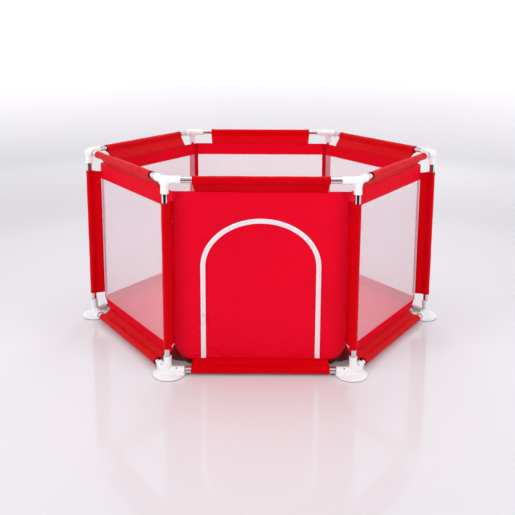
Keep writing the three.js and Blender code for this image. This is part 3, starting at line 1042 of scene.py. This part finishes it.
def front_panel():
    """The cloth round the doorway, swelling between its seams and puckered beside the zip."""
    legs, bow, rows = 110, 210, 40
    swell, seam_ease = 5.0 * MM, 8 * MM
    ax, az, _ = arch(ZIP_CLEAR, BAG_BOTTOM, legs, bow)
    ax = np.sign(ax) * (abs(ax) - slit_gap(az))
    bx, bz = panel_rim(legs, bow)
    t = np.linspace(0, 1, rows)[:, None]
    t = 0.5 * (t + 0.5 * (1 - np.cos(math.pi * t)))
    x = ax + (bx - ax) * t
    z = az + (bz - az) * t
    low = bottom_edge(x, front)
    leg_share = np.clip((SPRING - z) / (SPRING - BAG_BOTTOM), 0, 1)
    z = np.where(z < SPRING, SPRING - leg_share * (SPRING - low), z)
    reach = np.hypot(bx - ax, bz - az)[None]
    gap, edge = reach * t, reach * (1 - t)
    foot = z - low
    rim_run = np.cumsum(np.concatenate([[0], np.hypot(np.diff(bx), np.diff(bz))]))[None]
    puff = swell * np.minimum(rise(gap - ZIP_SEAM, 0.05), rise(edge, 0.03)) * rise(foot, 0.03)
    soft = 1.5 * MM * lattice_noise(x / 0.09, z / 0.10, 41)
    soft = soft + 0.8 * MM * lattice_noise(x / 0.035, z / 0.05, 45)
    corner = np.exp(-((front.right - abs(x)) ** 2 + (BAG_TOP - z) ** 2) / 0.07**2)
    folds = 3.4 * MM * corner * lattice_noise((z + abs(x)) / 0.014, (z - abs(x)) / 0.15, 44)
    hold = np.clip(np.minimum(np.minimum(gap - ZIP_SEAM, edge), foot) / seam_ease, 0, 1)
    legs_only = np.clip((SPRING + 0.05 - z) / 0.1, 0.25, 1)
    past_tape = np.clip((gap - ZIP_CLEAR) / (4 * MM), 0, 1)
    seam = np.broadcast_to(along_zip(ax, az)[None], gap.shape)
    zip_puckers = puckers(seam, gap, 420, 9 * MM, 48 * MM, 5.4 * MM) * legs_only * past_tape
    rim_puckers = puckers(rim_run, edge, 430, 10 * MM, 16 * MM, 2.0 * MM)
    at_foot = np.clip(foot / seam_ease, 0, 1)
    out = (puff + soft * hold + folds * hold) + (zip_puckers + rim_puckers) * at_foot
    points = front.place(x, BAG_INSET - out, z)
    uv = np.stack([x, z], -1)
    obj = piece("front_cloth", grid_mesh(points, uv), RED_PANEL, nodes=["front_panel"])
    thicken(obj, 1.6 * MM)


def door_flap():
    """The door, whose edge the zip puckers."""
    columns, rows = 150, 150
    swell, seam_ease, foot_ease = 4.2 * MM, 7 * MM, 8 * MM
    half, arch_height = ZIP_HALF_WIDTH - ZIP_CLEAR, DOOR_ARCH - ZIP_CLEAR
    u = np.linspace(-1, 1, columns)
    x = half * np.sin(math.pi / 2 * u)[None]
    top = SPRING + arch_height * np.cos(math.pi / 2 * u)[None]
    v = np.linspace(0, 1, rows)[:, None] ** 1.1
    base = BAG_BOTTOM + 1 * MM
    z = base + (top - base) * v
    side_gap = half - abs(x) + 0 * z
    x = x * (half + slit_gap(z)) / half
    bow = np.hypot(1 - side_gap / half, np.maximum(z - SPRING, 0) / arch_height)
    bow_gap = np.where(z > SPRING, (1 - bow) * arch_height, side_gap)
    edge = np.maximum(np.minimum(side_gap, bow_gap), 0)
    foot = z - base
    puff = swell * rise(edge - ZIP_SEAM, 0.06) * rise(foot, 0.05)
    soft = 1.4 * MM * lattice_noise(x / 0.10, z / 0.12, 52)
    soft = soft + 0.7 * MM * lattice_noise(x / 0.04, z / 0.05, 55)
    legs_only = np.clip((SPRING + 0.09 - z) / 0.12, 0.2, 1)
    past_tape = np.clip((edge - ZIP_CLEAR) / (4 * MM), 0, 1)
    zip_puckers = puckers(along_zip(x, z), edge, 510, 9 * MM, 40 * MM, 4.4 * MM) * legs_only * past_tape
    folds = 0
    for sign, seed, height in ((-1, 530, 2.0), (1, 540, 3.2)):
        near = np.exp(-(((half + sign * x) / 0.11) ** 2) - ((z - base - 0.02) / 0.06) ** 2)
        across = z + 0.75 * (half + sign * x)
        folds = folds + height * MM * near * lattice_noise(across / 0.013, sign * x / 0.12, seed)
    hold = np.clip(np.minimum(edge - ZIP_SEAM, foot) / seam_ease, 0, 1)
    out = puff + (soft + folds) * hold + zip_puckers * np.clip(foot / foot_ease, 0, 1)
    points = front.place(x, BAG_INSET - out, z)
    mesh = grid_mesh(points, np.stack([x, z], -1))
    obj = piece("door_cloth", mesh, RED_PANEL, body=None, nodes=["door_flap"])
    thicken(obj, 1.6 * MM)
    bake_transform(obj)


def band_mesh(profile, bottom):
    """A closed section swept along the zip: profile holds (offset, height towards the front)."""
    rows, run = [], None
    for offset, out in profile:
        x, z, run = arch(offset, bottom, 60, 120)
        rows.append(front.place(x, BAG_INSET - out, z))
    points = np.stack(rows, 1)
    offsets = np.array([offset for offset, _ in profile])
    uv = together(run[:, None], offsets[None])
    return grid_mesh(points, uv, wrap=True, caps=True)


def zip_half(name, sign, body, node):
    """Half of the zip: a tape whose folded lip hides the teeth and meets the other lip."""
    profile = [
        (0.06, 1.6), (0.06, 4.0), (0.3, 4.4), (1.3, 4.6), (2.2, 4.4), (3.0, 3.6),
        (3.5, 3.2), (7.4, 3.2), (7.7, 2.9), (7.7, 2.4), (3.5, 2.4), (2.2, 3.0), (1.2, 1.6),
    ]
    profile = [(sign * offset * MM, out * MM) for offset, out in profile]
    mesh = band_mesh(profile[::sign], ZIP_END)
    piece(name, mesh, TAPE, body=body, nodes=[node])
    x, z, run = arch(sign * 1.6 * MM, ZIP_END + 2 * MM, 300, 560)
    teeth = front.place(x, BAG_INSET - 1.2 * MM, z)
    radius = 0.75 * MM + 0.35 * MM * np.sin(run / (0.9 * MM) * math.pi)
    piece(f"{name}_teeth", swept_tube(teeth, radius), TAPE, body=body)


front_panel()
door_flap()
zip_half("zip_outer_half", 1, "root", "zip_tape_panel")
zip_half("zip_inner_half", -1, "door", "zip_tape_door")
for label, offset, body in (("outer", 6.6, "root"), ("inner", -6.6, "door")):
    line_x, line_z, _ = arch(offset * MM, ZIP_END + 2 * MM, 60, 120)
    line = front.place(line_x, BAG_INSET - 3.3 * MM, line_z)
    stitches(f"zip_{label}_stitches", [line], WHITE_THREAD, body=body)


def small_casting(name, node, distance):
    """A small enamelled casting in the place of a node on the body of the same name."""
    mesh = surface_of(distance, *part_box(node), 0.28 * MM)
    piece(name, mesh, ENAMEL, body=node, nodes=[node])


def zip_slider():
    """A flat slider with a rounded nose ridge, and the bridge that holds the pull."""
    low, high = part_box("zip_slider")
    centre = np.array([(low.x + high.x) / 2, 0.0, (low.z + high.z) / 2])

    def distance(p):
        q = (p - centre) / MM
        y = (p[..., 1] - high.y) / MM
        width = 4.6 + 0.09 * q[..., 2]
        plate = np.maximum(np.abs(q[..., 0]) - width, np.abs(q[..., 2]) - 7.6)
        plate = np.maximum(plate, np.abs(y + 2.0) - 1.9)
        r = np.stack([q[..., 0], y, q[..., 2]], -1)
        ridge = bar(r - np.array([0, -3.6, 0]), (0, 0, 1), 1.6, -6.5, 6.5, 1.2)
        body = join(plate, ridge, 1.2)
        bridge = block(r, (0, -6.0, 0), (2.6, 5.4, 7.6), 1.0)
        slot = block(r, (0, -6.4, 0), (6.0, 3.0, 4.8), 0.9)
        return cut(join(body, bridge, 0.8), slot, 0.3) * MM

    small_casting("slider_body", "zip_slider", distance)


def zip_pull():
    """A pull: two short arms on a pin, and a tab with a grip slot and a round hole."""
    low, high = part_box("zip_pull")
    x, y = (low.x + high.x) / 2, (low.y + high.y) / 2
    pin = np.array([x, y, high.z - 0.8 * MM])

    def distance(p):
        r = (p - pin) / MM
        body = bar(r, (1, 0, 0), 0.8, -3.9, 3.9, 0.3)
        for sign in (-1, 1):
            body = join(body, block(r, (sign * 3.0, 0, -3.4), (1.6, 1.5, 7.6), 0.5), 0.3)
        taper = 3.6 + 0.02 * r[..., 2]
        tab = np.maximum(np.abs(r[..., 0]) - taper, np.abs(r[..., 1]) - 0.78)
        tab = np.maximum(tab, np.abs(r[..., 2] + 19) - 12.8)
        round_end = np.hypot(r[..., 0], r[..., 2] + 28.2) - 3.7
        tab = np.maximum(tab, np.where(r[..., 2] < -28.2, round_end, -1))
        grip = block(r, (0, 0, -14.5), (2.6, 6, 7), 1.2)
        body = cut(join(body, tab, 0.5), grip, 0.3)
        hole = bar(r + np.array([0, 0, 26.5]), (0, 1, 0), 1.3, -3, 3)
        return cut(body, hole, 0.3) * MM

    small_casting("slider_pull", "zip_pull", distance)


zip_slider()
zip_pull()


def shade_dot(name, body, x, z, y):
    """A small dark knob with a rounded head, which faces the front: painted shade, for the dark gap at the
    slider's top and the dark hole in the pull.
    """
    path = [(x, y, z), (x, y - 0.5 * MM, z), (x, y - 0.8 * MM, z)]
    piece(name, swept_tube(path, np.array([1.25, 1.25, 0.8]) * MM, 16), STEEL, body=body)


slider_low, slider_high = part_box("zip_slider")
pull_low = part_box("zip_pull")[0]
ZIP_X = (slider_low.x + slider_high.x) / 2
# painted shade: dark knobs for the dark gap at the slider's top and the dark hole in the pull
shade_dot("slider_rivet", "zip_slider", ZIP_X, slider_high.z - 3.2 * MM, slider_low.y + 0.6 * MM)
shade_dot("pull_rivet", "zip_pull", ZIP_X, pull_low.z + 5.2 * MM, pull_low.y + 0.35 * MM)


# ---- the floor cloth ----


def floor_cloth():
    """The floor: its rim is sewn to the walls' lower edges and so rises at each corner; from there
    the cloth hangs inward and lies on the ground in soft wrinkles."""
    rim = round_the_bag(49, lambda x, side: bottom_edge(x, side) + 0.5 * MM)
    inward = np.concatenate([[0, 0.004, 0.010, 0.018], np.linspace(0.028, 0.985, 64)])[:, None]
    x, y = rim[None, :, 0] * (1 - inward), rim[None, :, 1] * (1 - inward)
    depth = np.hypot(rim[:, 0], rim[:, 1])[None] * inward
    low_z = 3.0 * MM
    slope = 0.04 + 0.8 * (rim[None, :, 2] - BAG_BOTTOM)
    fall = (1 - np.clip(depth / slope, 0, 1)) ** 2
    ease = np.clip(depth / 0.03, 0, 1)
    wrinkles = 3.0 * MM * np.maximum(lattice_noise(x / 0.16 + 3, y / 0.13, 61), 0)
    wrinkles = wrinkles + 1.6 * MM * np.abs(lattice_noise((x + 0.6 * y) / 0.05, (y - x) / 0.3, 62))
    wrinkles = wrinkles + 0.7 * MM * np.abs(lattice_noise(x / 0.03, y / 0.02, 64))
    run = np.arctan2(y, x) * 0.5
    near_rim = np.exp(-(((depth - 0.04) / 0.03) ** 2))
    gathers = 1.8 * MM * lattice_noise(run / 0.016, depth / 0.1, 63) * near_rim
    z = low_z + (rim[None, :, 2] - low_z) * fall + (wrinkles * (1 - fall) + np.abs(gathers)) * ease
    points = np.stack([x, y, z], -1)
    rows, columns = z.shape
    faces = grid_faces(rows, columns, wrap=True)
    faces.append(tuple((rows - 1) * columns + j for j in range(columns)))
    mesh = mesh_of(points, faces, np.stack([x, y], -1))
    obj = piece("floor_cloth", mesh, RED_FLOOR, nodes=["floor_mat"])
    thicken(obj, CLOTH)


floor_cloth()


# ---- studio ----


def stage_sheet(name, mesh, material):
    """A sheet of the studio, which isn't part of the object."""
    mesh.materials.append(material)
    mesh.polygons.foreach_set("use_smooth", [True] * len(mesh.polygons))
    obj = bpy.data.objects.new(name, mesh)
    scene.collection.objects.link(obj)
    return obj


def studio_paper():
    """Pale and glossy on the floor near the object and matt further out; painted shade darkens a ring round
    it, the far floor is painted lighter, and a painted glow brightens it up the wall.
    """
    painted_glow = (0.97, 0.96, 1.0, 1)
    m = Nodes("studio", (0.70, 0.69, 0.715), 0.07, Specular_IOR_Level=0.36, Emission_Color=painted_glow)
    place = m.place()
    reach = m.length(place)
    near, painted_shade_ring, far = (0.76, 0.75, 0.775), (0.70, 0.685, 0.71), (0.93, 0.92, 0.945)
    # painted shade: a darker ring of floor round the object; beyond it the floor is painted lighter
    colour = m.mix_colour(m.ramp(reach, 0.8, 1.7, 0, 1), near, painted_shade_ring)
    m.colour(m.ramp(reach, 1.9, 3.2, 0, 1), colour, far)
    m.roughness(m.ramp(reach, 1.3, 2.4, 0.07, 0.7))
    # painted glow: the paper's own light, faint on the floor and growing up the wall
    m.link(m.ramp(m.parts(place)[2], 0.0, 0.65, 0.05, 0.39), m.shader.inputs["Emission Strength"])
    return m.material


def painted_shade_room():
    """A dark sheet that stands for the unlit end of the room, below and behind the camera: painted shade.
    """
    return Nodes("studio_room", (0.02, 0.02, 0.022), 0.9, Specular_IOR_Level=0.0).material


def add_studio():
    """A round glossy floor that curves up into a wall, with soft lamps. A dark sheet in front is
    painted shade for the unlit room, and shows only in what the glossy parts reflect."""
    flat, bend, wall_top = 3.6, 0.9, 4.2
    turn = np.linspace(0, math.pi / 2, 16)
    profile = [(r, 0.0) for r in (0.01, 1.0, 2.0, 3.0, flat)]
    profile += [(flat + bend * math.sin(a), bend - bend * math.cos(a)) for a in turn[1:]]
    radius, z = np.array(profile + [(flat + bend, wall_top)]).T[:, :, None]
    c, s = ring(96)
    bowl = together(radius * c, radius * s, z)
    paper = studio_paper()
    stage_sheet("studio_floor", grid_mesh(bowl[:6], wrap=True), paper)
    wall = stage_sheet("studio_wall", grid_mesh(bowl[5:], wrap=True), paper)
    wall.visible_diffuse = wall.visible_shadow = False

    # painted shade: a dark sheet for the unlit room in front, seen only in reflections
    y, z = np.array([(-1.9, 0.003), (-3.4, 0.003), (-3.4, 1.8)]).T[:, :, None]
    room = together(np.linspace(-2.6, 2.6, 3), y, z)
    room = stage_sheet("studio_room", grid_mesh(room), painted_shade_room())
    room.visible_camera = room.visible_diffuse = room.visible_shadow = False

    scene.world = bpy.data.worlds.new("world")
    scene.world.use_nodes = True
    sky = scene.world.node_tree.nodes["Background"]
    sky.inputs["Color"].default_value = (0.95, 0.94, 0.97, 1)
    sky.inputs["Strength"].default_value = 0.56

    for name, place, size, power in (
        ("key", (-2.5, -2.3, 1.6), 1.2, 43),
        ("fill", (2.5, -2.3, 1.5), 1.4, 36),
        ("top", (0.0, 0.3, 3.4), 2.6, 30),
        ("back", (0.5, 3.0, 2.2), 1.6, 22),
    ):
        light = bpy.data.lights.new(name, "AREA")
        light.size, light.energy = size, power
        lamp = bpy.data.objects.new(name, light)
        scene.collection.objects.link(lamp)
        lamp.location = place
        lamp.visible_glossy = name == "top"
        aim = Vector((0, 0, 0.3)) - Vector(place)
        lamp.rotation_euler = aim.to_track_quat("-Z", "Y").to_euler()


add_studio()
scene.view_settings.view_transform = "Standard"
